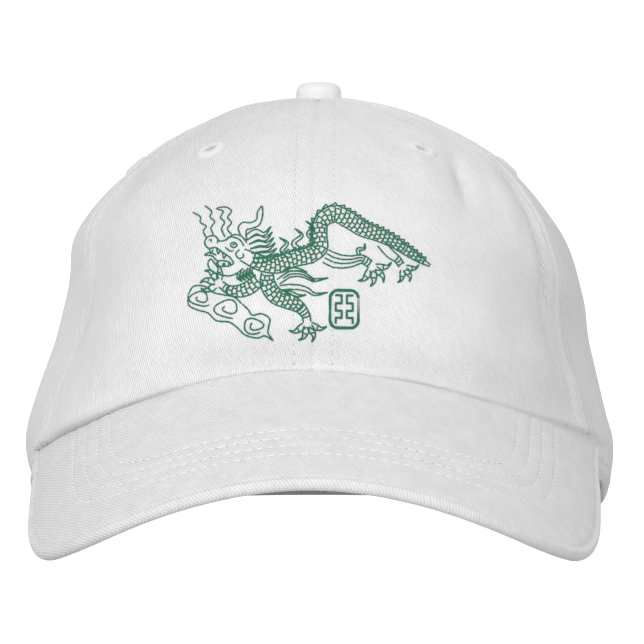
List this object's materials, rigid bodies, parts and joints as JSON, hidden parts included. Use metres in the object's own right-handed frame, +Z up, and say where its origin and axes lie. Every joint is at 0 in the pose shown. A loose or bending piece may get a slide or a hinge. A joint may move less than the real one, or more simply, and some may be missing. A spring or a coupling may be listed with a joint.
{
  "type": "embroidered baseball cap",
  "caption": "Soft low-profile cap sewn from crown panels with a curved peak, a covered top button, stitched eyelets, green embroidery and a back opening closed by an overlapping strap.",
  "frame": {"origin": "under the middle of the cap's bounding box, on the surface that the cap rests on", "axes": "+Z up, -Y towards the peak's front edge, +X to the viewer's right when the cap is seen from the front"},
  "size_m": [0.171, 0.2524, 0.128],
  "materials": {
    "crown_cloth": "matte white cotton twill",
    "peak_cloth": "matte white cotton twill",
    "eyelet_thread": "satin-stitched white thread"
  },
  "bodies": {
    "root": {"panel_front_left": "crown_cloth", "panel_front_right": "crown_cloth", "panel_side_left": "crown_cloth", "panel_side_right": "crown_cloth", "panel_back_left": "crown_cloth", "panel_back_right": "crown_cloth", "eyelet_front_left": "eyelet_thread", "eyelet_front_right": "eyelet_thread", "eyelet_side_left": "eyelet_thread", "eyelet_side_right": "eyelet_thread", "eyelet_back_left": "eyelet_thread", "eyelet_back_right": "eyelet_thread", "visor": "peak_cloth", "button": "peak_cloth", "strap_outer": "crown_cloth", "strap_inner": "crown_cloth", "sweatband": "crown_cloth"}
  },
  "joints": []
}
